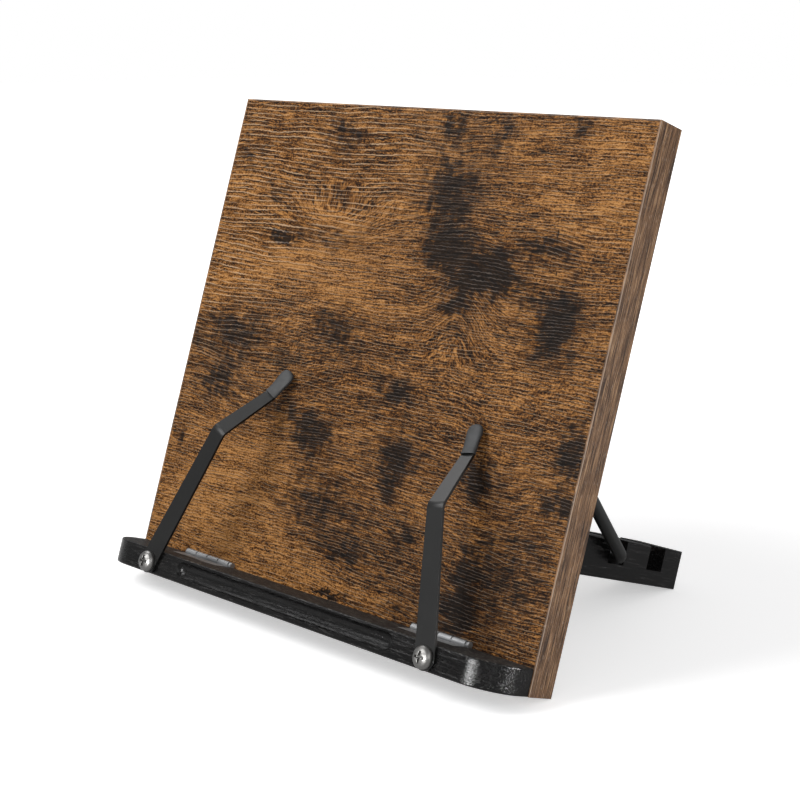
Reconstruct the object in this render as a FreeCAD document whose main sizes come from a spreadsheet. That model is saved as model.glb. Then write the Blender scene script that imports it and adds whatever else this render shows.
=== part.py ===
import FreeCAD, Part
import math
import os
import Sketcher

# A folding book holder: a laminated panel that leans back, a hinged wooden ledge with two page clips,
# and two hinged foot bars at the back that a wire prop locks square.
# Each piece is modelled with the panel upright: X to the right, Y to the back, Z up,
# with the bottom edge of the panel's back face on the X axis. The whole stand then leans back.

doc = FreeCAD.newDocument("BookHolder")
Vec = FreeCAD.Vector
Turn = FreeCAD.Rotation
Place = FreeCAD.Placement

# Driving sizes, in millimetres and degrees
SIZES = {
    # panel
    "panel_width": 250, "panel_height": 235, "panel_thick": 15, "band_thick": 0.8,
    # ledge
    "ledge_inset": 0.5, "ledge_depth": 24, "ledge_thick": 11.5, "ledge_corner": 18, "ledge_edge": 0.8,
    "groove_inset": 55, "groove_radius": 4.2, "groove_depth": 2.4, "groove_rise": 6.3,
    # butt hinges
    "leaf_thick": 0.8, "leaf_reach": 9, "knuckle_radius": 1.6, "pin_radius": 0.8, "knuckle_gap": 0.15,
    "pin_play": 0.05, "pin_head_radius": 1.5, "pin_head_length": 1.6, "seat_play": 0.1,
    "ledge_hinge_length": 31, "ledge_hinge_inset": 50.5,
    "foot_hinge_length": 23,
    # wood screws
    "screw_radius": 1.1, "screw_head_radius": 2.1, "screw_length": 8, "pilot_play": 0.05,
    "screw_inset": 5.2, "screw_pitch": 16, "foot_screw_pitch": 12,
    # page clips
    "clip_inset": 36, "clip_pivot_rise": 5.4,
    "strip_foot_width": 10.6, "strip_fold_width": 8.4, "strip_tip_width": 6.6, "strip_thick": 1.2,
    "strip_gap": 0.1, "strip_bend": 4, "left_strip_rise": 73, "right_strip_rise": 61.5,
    "strip_slope_rise": 22.8, "strip_root_off": 6.5, "strip_tip_rise": 12.4,
    "left_clip_lean": 22, "right_clip_lean": 11.8,
    "cap_width": 8.2, "cap_thick": 3, "cap_over": 1.2, "cap_gap": 0.2, "cap_edge": 1,
    "pivot_radius": 2, "pivot_play": 0.1, "head_gap": 0.05,
    "pivot_length": 15, "pivot_head_radius": 4.8, "pivot_head_rim": 1.5, "pivot_head_height": 3.4,
    "recess_span": 5, "recess_width": 1.1, "recess_depth": 1.8,
    # foot bars
    "foot_length": 140, "foot_width": 27, "foot_height": 18.6, "foot_rise": 47, "foot_inset": 58.5,
    "foot_gap": 0.3, "foot_relief": 4.4, "foot_edge": 0.7,
    "notch_width": 12.5, "notch_depth": 11.3, "notch_start": 81.3, "notch_pitch": 31.5, "notch_count": 2,
    # wire prop
    "wire_radius": 3, "wire_side_gap": 1.5, "wire_bend": 4.5, "wire_front_gap": 1.3, "wire_floor_gap": 0.1,
    "prop_angle": 54.8, "prop_offset": 4.6, "prop_end": 17,
    # saddles that hold the wire's ends
    "saddle_thick": 1.2, "saddle_width": 9, "saddle_ear": 9, "saddle_play": 0.1,
}
sheet = doc.addObject("Spreadsheet::Sheet", "Sizes")
for row, (alias, number) in enumerate(SIZES.items(), start=1):
    sheet.set("A%d" % row, alias)
    sheet.set("B%d" % row, str(number))
    sheet.setAlias("B%d" % row, alias)
doc.recompute()

PARTS = {}        # label: the object that is written to a file


def size(alias):
    return float(getattr(sheet, alias))


def worth(expression):
    """The number that an expression of the sheet's aliases gives."""
    return float(sheet.evalExpression(full(expression)))


def full(expression):
    """Put the sheet's name before each alias of an expression."""
    words = []
    word = ""
    for letter in str(expression) + " ":
        if letter.isalnum() or letter in "_.":
            word += letter
            continue
        words.append("Sizes." + word if word in SIZES else word)
        words.append(letter)
        word = ""
    return "".join(words).strip()


def bind(thing, prop, expression):
    thing.setExpression(prop, full(expression))


def place_by(thing, x, y, z):
    for axis, expression in (("x", x), ("y", y), ("z", z)):
        bind(thing, "Placement.Base." + axis, expression)


# Solids

def box(name, size_xyz, corner):
    made = doc.addObject("Part::Box", name)
    for prop, expression in zip(("Length", "Width", "Height"), size_xyz):
        bind(made, prop, expression)
    place_by(made, *corner)
    return made


AXES = {
    "+X": Turn(Vec(0, 1, 0), 90), "-X": Turn(Vec(0, 1, 0), -90),
    "+Y": Turn(Vec(1, 0, 0), -90), "-Y": Turn(Vec(1, 0, 0), 90),
    "+Z": Turn(), "-Z": Turn(Vec(1, 0, 0), 180),
}


def cylinder(name, radius, height, centre, axis):
    made = doc.addObject("Part::Cylinder", name)
    bind(made, "Radius", radius)
    bind(made, "Height", height)
    made.Placement.Rotation = AXES[axis]
    place_by(made, *centre)
    return made


def cone(name, radius_at_base, radius_at_top, height, centre, axis):
    made = doc.addObject("Part::Cone", name)
    bind(made, "Radius1", radius_at_base)
    bind(made, "Radius2", radius_at_top)
    bind(made, "Height", height)
    made.Placement.Rotation = AXES[axis]
    place_by(made, *centre)
    return made


def sphere(name, radius, centre):
    made = doc.addObject("Part::Sphere", name)
    bind(made, "Radius", radius)
    place_by(made, *centre)
    return made


def fused(name, pieces):
    made = doc.addObject("Part::MultiFuse", name)
    made.Shapes = pieces
    made.Refine = True
    return made


def cut(name, base, tool):
    made = doc.addObject("Part::Cut", name)
    made.Base = base
    made.Tool = tool
    made.Refine = True
    return made


def group(name, pieces):
    made = doc.addObject("Part::Compound", name)
    made.Links = pieces
    return made


def keep(label, made):
    made.Label = label
    PARTS[label] = made
    return made


# Sketches and bodies

def origin_plane(body, role):
    return [feature for feature in body.Origin.OriginFeatures if feature.Role == role][0]


def sketch_on(body, name, role):
    sketch = body.newObject("Sketcher::SketchObject", name)
    sketch.AttachmentSupport = [(origin_plane(body, role), "")]
    sketch.MapMode = "FlatFace"
    return sketch


def pin_point(sketch, geometry, end, x, y):
    """Hold a point of a sketch at two expressions, from the sketch's origin."""
    for kind, expression in (("DistanceX", x), ("DistanceY", y)):
        index = sketch.addConstraint(Sketcher.Constraint(kind, -1, 1, geometry, end, worth(expression)))
        sketch.setExpression("Constraints[%d]" % index, full(expression))


def outline(sketch, corners):
    """Draw a closed outline of straight lines through corners that are pairs of expressions."""
    points = [Vec(worth(x), worth(y), 0) for x, y in corners]
    count = len(points)
    for index in range(count):
        sketch.addGeometry(Part.LineSegment(points[index], points[(index + 1) % count]))
    for index in range(count):
        sketch.addConstraint(Sketcher.Constraint("Coincident", index, 2, (index + 1) % count, 1))
    for index, (x, y) in enumerate(corners):
        pin_point(sketch, index, 1, x, y)


def circle(sketch, x, y, radius):
    index = sketch.addGeometry(Part.Circle(Vec(worth(x), worth(y), 0), Vec(0, 0, 1), worth(radius)))
    pin_point(sketch, index, 3, x, y)
    held = sketch.addConstraint(Sketcher.Constraint("Radius", index, worth(radius)))
    sketch.setExpression("Constraints[%d]" % held, full(radius))


def pad(body, sketch, length, middle=True):
    made = body.newObject("PartDesign::Pad", "Pad")
    made.Profile = sketch
    made.Midplane = middle
    bind(made, "Length", length)
    return made


def pocket_through(body, sketch):
    made = body.newObject("PartDesign::Pocket", "Pocket")
    made.Profile = sketch
    made.Midplane = True
    made.Type = "ThroughAll"
    return made


def same(one, other):
    return abs(one - other) < 0.01


def edges_where(body, test):
    """Names of the tip's edges whose two ends pass a test."""
    doc.recompute()
    names = []
    for index, edge in enumerate(body.Tip.Shape.Edges, start=1):
        ends = [vertex.Point for vertex in edge.Vertexes]
        if len(ends) == 2 and test(*ends):
            names.append("Edge%d" % index)
    return names


def round_off(body, names, radius):
    made = body.newObject("PartDesign::Fillet", "Rounding")
    made.Base = (body.Tip if body.Tip != made else made.BaseFeature, names)
    bind(made, "Radius", radius)
    return made


# Panel

HALF = "panel_width / 2"
LEDGE_HALF = "(%s - ledge_inset)" % HALF
HINGE_X = "(%s - ledge_hinge_inset)" % HALF
CLIP_X = "(%s - clip_inset)" % HALF
FOOT_X = "(%s - foot_inset)" % HALF
PANEL_FRONT = "-panel_thick"
LEDGE_FRONT = "-(panel_thick + ledge_depth)"


def pilot(name, x, y, z, axis, depth="screw_length + 0.5"):
    return cylinder(name, "screw_radius + pilot_play", depth, (x, y, z), axis)


def wood_screw(name, x, y, z, axis):
    """A countersunk screw whose head is flush with the point given and which runs along axis."""
    head = cone(name + "_head", "screw_head_radius", "screw_radius", "leaf_thick", (x, y, z), axis)
    shank = cylinder(name + "_shank", "screw_radius", "screw_length", (x, y, z), axis)
    return fused(name, [head, shank])


SIDES = {"left": "-", "right": ""}

# Hinge axes, and where each leaf's screws stand
LEDGE_PIN_Y = "-(panel_thick + knuckle_radius + seat_play)"
LEDGE_PIN_Z = "ledge_thick + seat_play + knuckle_radius - leaf_thick"
FOOT_TOP = "(foot_rise + foot_height)"
FOOT_PIN_Y = "knuckle_radius + seat_play"
FOOT_PIN_Z = FOOT_TOP + " + knuckle_radius - leaf_thick + seat_play"
PROP_Z = ("(" + FOOT_TOP + " - notch_depth + wire_floor_gap + wire_radius"
          " + (notch_start + wire_front_gap + wire_radius - prop_offset) / tan(prop_angle * 1deg))")


LEDGE_TOP_FACE = LEDGE_PIN_Z + " - knuckle_radius + leaf_thick"
LEDGE_LEAF_FACE = LEDGE_PIN_Y + " + knuckle_radius - leaf_thick"
FOOT_TOP_FACE = FOOT_PIN_Z + " - knuckle_radius + leaf_thick"
FOOT_LEAF_FACE = FOOT_PIN_Y + " - knuckle_radius + leaf_thick"


def hinge_screws(side, kind):
    """Where a hinge's two screws of one leaf stand: x, y, z and the way they point."""
    sign = SIDES[side]
    middle = sign + (HINGE_X if kind.startswith("ledge") else FOOT_X)
    pitch = "screw_pitch" if kind.startswith("ledge") else "foot_screw_pitch"
    stands = {
        "ledge_top": (LEDGE_PIN_Y + " - screw_inset", LEDGE_TOP_FACE, "-Z"),
        "ledge_panel": (LEDGE_LEAF_FACE, LEDGE_PIN_Z + " - screw_inset", "+Y"),
        "foot_top": (FOOT_PIN_Y + " + screw_inset", FOOT_TOP_FACE, "-Z"),
        "foot_panel": (FOOT_LEAF_FACE, FOOT_PIN_Z + " + screw_inset", "-Y"),
    }
    return [("%s %s %s / 2" % (middle, hand, pitch),) + stands[kind] for hand in ("-", "+")]


def saddle_screws(side):
    x = SIDES[side] + "(" + SADDLE_X + ")"
    return [(x, "saddle_thick", PROP_Z + " %s (%s)" % (hand, SADDLE_SCREW), "-Y") for hand in ("-", "+")]


WIRE_X = "(" + FOOT_X + " + foot_width / 2 + wire_side_gap + wire_radius)"
SADDLE_X = WIRE_X + " + wire_bend + (prop_end - wire_bend) / 2"
SADDLE_ARCH = "(wire_radius + saddle_play)"
SADDLE_SCREW = SADDLE_ARCH + " + saddle_thick + saddle_ear / 2"


def make_panel():
    inner = "panel_width - 2 * band_thick"
    board = box("board", (inner, "panel_thick", "panel_height - 2 * band_thick"),
                ("-(%s) / 2" % inner, PANEL_FRONT, "band_thick"))
    holes = []
    for side in SIDES:
        stands = hinge_screws(side, "ledge_panel") + hinge_screws(side, "foot_panel") + saddle_screws(side)
        for number, (x, y, z, axis) in enumerate(stands):
            holes.append(pilot("panel_pilot_%s_%d" % (side, number), x, y, z, axis))
    keep("panel_board", cut("panel", board, fused("panel_pilots", holes)))
    side_size = ("band_thick", "panel_thick", "panel_height")
    end_size = (inner, "panel_thick", "band_thick")
    bands = {
        "left": (side_size, ("-panel_width / 2", PANEL_FRONT, "0")),
        "right": (side_size, ("panel_width / 2 - band_thick", PANEL_FRONT, "0")),
        "top": (end_size, ("-(%s) / 2" % inner, PANEL_FRONT, "panel_height - band_thick")),
        "bottom": (end_size, ("-(%s) / 2" % inner, PANEL_FRONT, "0")),
    }
    for edge, (size_xyz, corner) in bands.items():
        keep(edge + "_edge_band", group("band_" + edge, [box("band_strip_" + edge, size_xyz, corner)]))


# Ledge

def make_ledge():
    body = doc.addObject("PartDesign::Body", "ledge_blank")
    plan = sketch_on(body, "plan", "XY_Plane")
    back = "-(panel_thick + seat_play)"
    outline(plan, [("-" + LEDGE_HALF, LEDGE_FRONT), (LEDGE_HALF, LEDGE_FRONT),
                   (LEDGE_HALF, back), ("-" + LEDGE_HALF, back)])
    pad(body, plan, "ledge_thick", middle=False)
    front = worth(LEDGE_FRONT)
    corners = edges_where(body, lambda a, b: same(a.y, front) and same(b.y, front) and same(a.x, b.x))
    round_off(body, corners, "ledge_corner")
    rear = worth(back)
    rims = edges_where(body, lambda a, b: same(a.z, b.z) and not (same(a.y, rear) and same(b.y, rear)))
    round_off(body, rims, "ledge_edge")
    # the long finger groove in the front edge
    groove_y = LEDGE_FRONT + " - (groove_radius - groove_depth)"
    reach = "(%s - groove_inset - groove_radius)" % HALF
    channel = [cylinder("groove_run", "groove_radius", "2 * " + reach,
                        ("-" + reach, groove_y, "groove_rise"), "+X")]
    for hand in ("-", ""):
        channel.append(sphere("groove_end" + ("_left" if hand else "_right"), "groove_radius",
                              (hand + reach, groove_y, "groove_rise")))
    tools = [fused("groove", channel)]
    for side, sign in SIDES.items():
        # seats for the two leaves, and a hollow for the knuckle
        long = "(ledge_hinge_length + 2 * seat_play)"
        left = "%s%s - %s / 2" % (sign, HINGE_X, long)
        right = "%s%s + ledge_hinge_length / 2" % (sign, HINGE_X)
        tools.append(box("seat_top_" + side, (long, "leaf_reach + 2 * seat_play", "leaf_thick + 1"),
                         (left, LEDGE_PIN_Y + " - leaf_reach - seat_play",
                          LEDGE_PIN_Z + " - knuckle_radius - seat_play")))
        tools.append(box("seat_back_" + side, (long, "2 * knuckle_radius + 2 * seat_play", "leaf_reach + 4"),
                         (left, LEDGE_PIN_Y + " + knuckle_radius - leaf_thick - seat_play",
                          LEDGE_PIN_Z + " - leaf_reach - seat_play")))
        tools.append(cylinder("seat_knuckle_" + side, "knuckle_radius + seat_play", long,
                              (left, LEDGE_PIN_Y, LEDGE_PIN_Z), "+X"))
        tools.append(cylinder("seat_pin_head_" + side, "pin_head_radius + seat_play",
                              "knuckle_gap + pin_head_length + seat_play",
                              (right, LEDGE_PIN_Y, LEDGE_PIN_Z), "+X"))
        for number, (x, y, z, axis) in enumerate(hinge_screws(side, "ledge_top")):
            tools.append(pilot("ledge_pilot_%s_%d" % (side, number), x, y, z, axis))
        tools.append(cylinder("ledge_pivot_pilot_" + side, "pivot_radius + pilot_play", "pivot_length + 1",
                              (sign + CLIP_X, LEDGE_FRONT + " - 0.5", "clip_pivot_rise"), "+Y"))
    keep("ledge_board", cut("ledge", body, fused("ledge_tools", tools)))


# Butt hinges

def leaf(name, length, pitch, turn, at, segments):
    """One leaf: a plate tangent to the knuckle, with every other knuckle of four, two countersunk holes."""
    start = "-%s / 2" % length
    plate = box(name + "_plate", (length, "leaf_reach", "leaf_thick"), (start, "0", "-knuckle_radius"))
    step = "(%s / 4)" % length
    reach = "(knuckle_radius + seat_play)"
    knuckles = []
    spaces = []
    for index in range(4):
        at_x = "%s + %d * %s" % (start, index, step)
        if index in segments:
            knuckles.append(cylinder("%s_knuckle_%d" % (name, index), "knuckle_radius",
                                     step + " - knuckle_gap", (at_x + " + knuckle_gap / 2", "0", "0"), "+X"))
        else:
            spaces.append(box("%s_space_%d" % (name, index),
                              (step + " + knuckle_gap", "2 * " + reach, "2 * " + reach),
                              (at_x + " - knuckle_gap / 2", "-" + reach, "-" + reach)))
    bore = cylinder(name + "_bore", "pin_radius + pin_play", length + " + 2",
                    (start + " - 1", "0", "0"), "+X")
    tools = spaces + [bore]
    for hand in ("-", ""):
        tools.append(cone(name + "_sink" + ("_left" if hand else "_right"), "screw_head_radius + pilot_play",
                          "screw_radius + pilot_play", "leaf_thick",
                          (hand + pitch + " / 2", "screw_inset", "-knuckle_radius + leaf_thick"), "-Z"))
    made = cut(name, fused(name + "_solid", [plate] + knuckles), fused(name + "_tools", tools))
    made.Placement = Place(Vec(*[worth(value) for value in at]), turn)
    return made


FLIPPED = Turn(Vec(0, 0, 1), 180)
DOWN_FRONT = Turn(Vec(0, 1, -1), 180)
UP_BACK = Turn(Vec(0, 1, 1), 180)


def pin(name, length, at):
    stem = cylinder(name + "_stem", "pin_radius", length, ("-%s / 2" % length, "0", "0"), "+X")
    head = cylinder(name + "_head", "pin_head_radius", "pin_head_length",
                    ("%s / 2 + knuckle_gap" % length, "0", "0"), "+X")
    neck = cylinder(name + "_neck", "pin_radius", "knuckle_gap", ("%s / 2" % length, "0", "0"), "+X")
    made = fused(name, [stem, neck, head])
    made.Placement = Place(Vec(*[worth(value) for value in at]), Turn())
    return made


def make_hinges():
    for side, sign in SIDES.items():
        ledge_at = (sign + HINGE_X, LEDGE_PIN_Y, LEDGE_PIN_Z)
        foot_at = (sign + FOOT_X, FOOT_PIN_Y, FOOT_PIN_Z)
        keep(side + "_ledge_hinge_top_leaf",
             leaf(side + "_ltl", "ledge_hinge_length", "screw_pitch", FLIPPED, ledge_at, (0, 2)))
        keep(side + "_ledge_hinge_panel_leaf",
             leaf(side + "_lpl", "ledge_hinge_length", "screw_pitch", DOWN_FRONT, ledge_at, (1, 3)))
        keep(side + "_ledge_hinge_pin", pin(side + "_lp", "ledge_hinge_length", ledge_at))
        keep(side + "_foot_hinge_bar_leaf",
             leaf(side + "_fbl", "foot_hinge_length", "foot_screw_pitch", Turn(), foot_at, (0, 2)))
        keep(side + "_foot_hinge_panel_leaf",
             leaf(side + "_fpl", "foot_hinge_length", "foot_screw_pitch", UP_BACK, foot_at, (0, 2)))
        keep(side + "_foot_hinge_pin", pin(side + "_fp", "foot_hinge_length", foot_at))


def make_screw_groups():
    def screws(name, stands):
        return [wood_screw("%s_%d" % (name, number), *stand) for number, stand in enumerate(stands)]
    both = list(SIDES)
    ledge = [stand for side in both for kind in ("ledge_top", "ledge_panel")
             for stand in hinge_screws(side, kind)]
    keep("ledge_hinge_screws", group("lhs", screws("lhs_one", ledge)))
    keep("foot_hinge_panel_screws", group("fhps", screws("fhps_one", [
        stand for side in both for stand in hinge_screws(side, "foot_panel")])))
    for side in both:
        bar = screws(side + "_fhbs_one", hinge_screws(side, "foot_top"))
        keep(side + "_foot_hinge_bar_screws", group(side + "_fhbs", bar))
    saddle = [stand for side in both for stand in saddle_screws(side)]
    keep("saddle_screws", group("sds", screws("sds_one", saddle)))


# Page clips, modelled upright about their pivot, with the strip's back face on the XZ plane

ROOT_Y = "(ledge_depth + strip_gap - strip_root_off)"
TIP_Y = "(ledge_depth + strip_gap - cap_thick / 2 - cap_over / 2 - cap_gap)"
SLOPE = "atan((%s + strip_thick / 2) / strip_slope_rise)" % ROOT_Y
TIP_SLOPE = "atan((%s - %s) / strip_tip_rise)" % (TIP_Y, ROOT_Y)
CAP_LENGTH = ("(strip_tip_rise / cos(%s) - strip_bend * tan((%s - %s) / 2) - 0.1 + cap_over)"
              % (TIP_SLOPE, SLOPE, TIP_SLOPE))


def strip_edge_on(side):
    """The corners of a clip's strip seen edge on: up the back face, then down the front face."""
    rise = side + "_strip_rise"
    root = "(%s + strip_slope_rise)" % rise
    end = "(%s + strip_tip_rise)" % root
    half = "strip_thick / 2"
    fold = "%s * tan(%s / 2)" % (half, SLOPE)
    spread = "%s / (1 + cos(%s - %s))" % (half, SLOPE, TIP_SLOPE)
    root_y = "%s * (cos(%s) + cos(%s))" % (spread, SLOPE, TIP_SLOPE)
    root_z = "%s * (sin(%s) + sin(%s))" % (spread, SLOPE, TIP_SLOPE)
    end_y = "%s * cos(%s)" % (half, TIP_SLOPE)
    end_z = "%s * sin(%s)" % (half, TIP_SLOPE)
    low = "-strip_foot_width / 2"
    back = [("0", low), ("0", "%s - %s" % (rise, fold)),
            ("%s + %s" % (ROOT_Y, root_y), "%s - %s" % (root, root_z)),
            ("%s + %s" % (TIP_Y, end_y), "%s - %s" % (end, end_z))]
    front = [("-strip_thick", low), ("-strip_thick", "%s + %s" % (rise, fold)),
             ("%s - %s" % (ROOT_Y, root_y), "%s + %s" % (root, root_z)),
             ("%s - %s" % (TIP_Y, end_y), "%s + %s" % (end, end_z))]
    return back, front, end


def make_clip(side):
    back, front, end = strip_edge_on(side)
    bent = doc.addObject("PartDesign::Body", side + "_clip_bent")
    edge_on = sketch_on(bent, "edge_on", "YZ_Plane")
    outline(edge_on, back + front[::-1])
    pad(bent, edge_on, "strip_foot_width")
    inner = (worth(back[1][1]), worth(front[2][1]))
    outer = (worth(front[1][1]), worth(back[2][1]))
    for heights, change in ((inner, "-"), (outer, "+")):
        bends = edges_where(bent, lambda a, b: same(a.z, b.z) and same(a.y, b.y)
                            and (same(a.z, heights[0]) or same(a.z, heights[1])))
        round_off(bent, bends, "strip_bend %s strip_thick / 2" % change)
    flat = doc.addObject("PartDesign::Body", side + "_clip_flat")
    face = sketch_on(flat, "face", "XZ_Plane")
    foot = "strip_foot_width / 2"
    fold = "strip_fold_width / 2"
    tip = "strip_tip_width / 2"
    rise = side + "_strip_rise"
    root = rise + " + strip_slope_rise"
    top = end + " + " + "strip_thick / 2"
    outline(face, [("-" + foot, "-" + foot), (foot, "-" + foot), (foot, "0"), (fold, rise), (tip, root),
                   (tip, top), ("-" + tip, top), ("-" + tip, root), ("-" + fold, rise), ("-" + foot, "0")])
    pad(flat, face, "3 * (ledge_depth + strip_gap)")
    low = -worth(foot)
    high = worth(top)
    for height, radius in ((low, foot + " - 0.05"), (high, tip + " - 0.4")):
        corners = edges_where(flat, lambda a, b: same(a.x, b.x) and same(a.z, b.z) and same(a.z, height))
        round_off(flat, corners, radius)
    strip = doc.addObject("Part::Common", side + "_strip")
    strip.Base = bent
    strip.Tool = flat
    hole = cylinder(side + "_strip_hole", "pivot_radius + pivot_play", "strip_thick + 2",
                    ("0", "-strip_thick - 1", "0"), "+Y")
    keep(side + "_page_clip", cut(side + "_clip", strip, hole))


def make_cap(side):
    """The soft cap pushed over the strip's end, modelled about that end with the strip's tip upright."""
    start = "(cap_over - %s)" % CAP_LENGTH
    body = doc.addObject("PartDesign::Body", side + "_cap_blank")
    face = sketch_on(body, "face", "XZ_Plane")
    outline(face, [("-cap_width / 2", start), ("cap_width / 2", start),
                   ("cap_width / 2", "cap_over"), ("-cap_width / 2", "cap_over")])
    pad(body, face, "cap_thick")
    top = worth("cap_over")
    ends = edges_where(body, lambda a, b: same(a.z, top) and same(b.z, top) and same(a.x, b.x))
    round_off(body, ends, "cap_width / 2 - 0.1")
    low = worth(start)
    rims = edges_where(body, lambda a, b: same(a.y, b.y) and not (same(a.z, low) and same(b.z, low)))
    round_off(body, rims, "cap_edge")
    wide = "(strip_tip_width + 0.5)"
    tip = box(side + "_cap_slot", (wide, "strip_thick", CAP_LENGTH + " - cap_over + 1"),
              ("-%s / 2" % wide, "-strip_thick / 2", start + " - 1"))
    keep(side + "_clip_cap", cut(side + "_cap", body, tip))


def make_pivot(side):
    """The pan head screw that a clip swings on, with a cross recess."""
    body = doc.addObject("PartDesign::Body", side + "_pivot_blank")
    half = sketch_on(body, "half_section", "YZ_Plane")
    front = "-(strip_thick + head_gap)"
    rim = front + " - pivot_head_rim"
    face = front + " - pivot_head_height"
    crown = "pivot_head_radius * 0.45"
    shank_end = "strip_gap + pivot_length - 1"
    outline(half, [(face, "0"), (face, crown),
                   (rim + " - (pivot_head_height - pivot_head_rim) * 0.55", "pivot_head_radius * 0.82"),
                   (rim, "pivot_head_radius"), (front, "pivot_head_radius"), (front, "pivot_radius"),
                   (shank_end, "pivot_radius"), (shank_end + " + 1", "pivot_radius * 0.5"),
                   (shank_end + " + 1", "0")])
    turned = body.newObject("PartDesign::Revolution", "Turned")
    turned.Profile = half
    turned.ReferenceAxis = (half, ["H_Axis"])
    turned.Angle = 360
    arms = []
    arm_sizes = {"across": ("recess_span", "recess_width"), "upright": ("recess_width", "recess_span")}
    for name, (wide, tall) in arm_sizes.items():
        arms.append(box("%s_recess_%s" % (side, name), (wide, "recess_depth + 1", tall),
                        ("-%s / 2" % wide, "%s - 1" % face, "-%s / 2" % tall)))
    keep(side + "_clip_screw", cut(side + "_pivot", body, fused(side + "_recess", arms)))


# Foot bars, modelled about the panel's back face at their own mid width

def make_foot(side):
    body = doc.addObject("PartDesign::Body", side + "_foot_blank")
    profile = sketch_on(body, "profile", "YZ_Plane")
    outline(profile, [("foot_gap", FOOT_TOP), ("foot_gap + foot_relief", "foot_rise"),
                      ("foot_length", "foot_rise"), ("foot_length", FOOT_TOP)])
    pad(body, profile, "foot_width")
    back = size("foot_length")
    long = edges_where(body, lambda a, b: same(a.x, b.x) and same(a.z, b.z)
                       or (same(a.y, back) and same(b.y, back) and not same(a.z, b.z)))
    round_off(body, long, "foot_edge")
    notch = sketch_on(body, "notch", "YZ_Plane")
    floor = FOOT_TOP + " - notch_depth"
    outline(notch, [("notch_start", floor), ("notch_start + notch_width", floor),
                    ("notch_start + notch_width", FOOT_TOP + " + 1"), ("notch_start", FOOT_TOP + " + 1")])
    first = pocket_through(body, notch)
    row = body.newObject("PartDesign::LinearPattern", "Notches")
    row.Originals = [first]
    row.Direction = (profile, ["H_Axis"])
    bind(row, "Length", "notch_pitch * (notch_count - 1)")
    bind(row, "Occurrences", "notch_count")
    body.Tip = row
    sign = SIDES[side]
    body.Placement = Place(Vec(worth(sign + FOOT_X), 0, 0), Turn())
    long = "(foot_hinge_length + 2 * seat_play)"
    left = "%s%s - %s / 2" % (sign, FOOT_X, long)
    tools = [box("foot_seat_" + side, (long, "leaf_reach + 2 * seat_play", "leaf_thick + 1"),
                 (left, FOOT_PIN_Y + " - seat_play", FOOT_PIN_Z + " - knuckle_radius - seat_play")),
             cylinder("foot_knuckle_" + side, "knuckle_radius + seat_play", "foot_width",
                      ("%s%s - foot_width / 2" % (sign, FOOT_X), FOOT_PIN_Y, FOOT_PIN_Z), "+X")]
    for number, (x, y, z, axis) in enumerate(hinge_screws(side, "foot_top")):
        tools.append(pilot("foot_pilot_%s_%d" % (side, number), x, y, z, axis))
    keep(side + "_foot_bar", cut(side + "_foot", body, fused("foot_tools_" + side, tools)))


# Wire prop, modelled hanging from its pivot axis, and its saddles

PROP_LENGTH = "((notch_start + wire_front_gap + wire_radius - prop_offset) / sin(prop_angle * 1deg))"


def bend(name, centre, turn):
    """A quarter of a ring of the prop's wire."""
    made = doc.addObject("Part::Torus", name)
    bind(made, "Radius1", "wire_bend")
    bind(made, "Radius2", "wire_radius")
    made.Angle3 = 90
    made.Placement.Rotation = turn
    place_by(made, *centre)
    return made


def make_prop():
    deep = "(%s - wire_bend)" % PROP_LENGTH
    leg = PROP_LENGTH + " - 2 * wire_bend"
    inner = "(%s - wire_bend)" % WIRE_X
    outer = "(%s + wire_bend)" % WIRE_X
    upright = Turn(Vec(1, 0, 0), 90)
    runs = [cylinder("prop_bar", "wire_radius", "2 * " + inner, ("-" + inner, "0", "-" + PROP_LENGTH), "+X")]
    for side, sign in SIDES.items():
        right = side == "right"
        runs.append(cylinder("prop_leg_" + side, "wire_radius", leg,
                             (sign + WIRE_X, "0", "-wire_bend"), "-Z"))
        runs.append(cylinder("prop_end_" + side, "wire_radius", "prop_end - wire_bend",
                             (sign + outer, "0", "0"), "+X" if right else "-X"))
        upper = upright.multiply(Turn(Vec(0, 0, 1), 90 if right else 0))
        lower = upright.multiply(Turn(Vec(0, 0, 1), 270 if right else 180))
        runs.append(bend("prop_bend_high_" + side, (sign + outer, "0", "-wire_bend"), upper))
        runs.append(bend("prop_bend_low_" + side, (sign + inner, "0", "-" + deep), lower))
    keep("prop_wire", fused("prop", runs))


def make_saddle(side):
    """A strip bent over the wire's end, with a flat ear above and below."""
    body = doc.addObject("PartDesign::Body", side + "_saddle_blank")
    profile = sketch_on(body, "profile", "YZ_Plane")
    arch = SADDLE_ARCH
    outer = "(%s + saddle_thick)" % arch
    top = "prop_offset + " + outer
    ear = "(%s + saddle_ear)" % outer
    inside = "(prop_offset + %s)" % arch
    outline(profile, [("0", "-" + ear), ("saddle_thick", "-" + ear), ("saddle_thick", "-" + outer),
                      (top, "-" + outer), (top, outer), ("saddle_thick", outer), ("saddle_thick", ear),
                      ("0", ear), ("0", arch), (inside, arch), (inside, "-" + arch), ("0", "-" + arch)])
    pad(body, profile, "saddle_width")
    for depth, radius in ((inside, arch), (top, outer)):
        level = worth(depth)
        crown = edges_where(body, lambda a, b: same(a.y, b.y) and same(a.z, b.z) and same(a.y, level))
        round_off(body, crown, radius + " * 0.98")
    tools = []
    for level, hand in (("low", "-"), ("high", "")):
        at_z = hand + "(" + SADDLE_SCREW + ")"
        tools.append(cone("%s_saddle_sink_%s" % (side, level), "screw_head_radius + pilot_play",
                          "screw_radius + pilot_play", "leaf_thick", ("0", "saddle_thick", at_z), "-Y"))
        tools.append(cylinder("%s_saddle_bore_%s" % (side, level), "screw_radius + pilot_play",
                              "saddle_thick + 2", ("0", "-1", at_z), "+Y"))
    keep(side + "_prop_saddle", cut(side + "_saddle", body, fused(side + "_saddle_tools", tools)))


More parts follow.
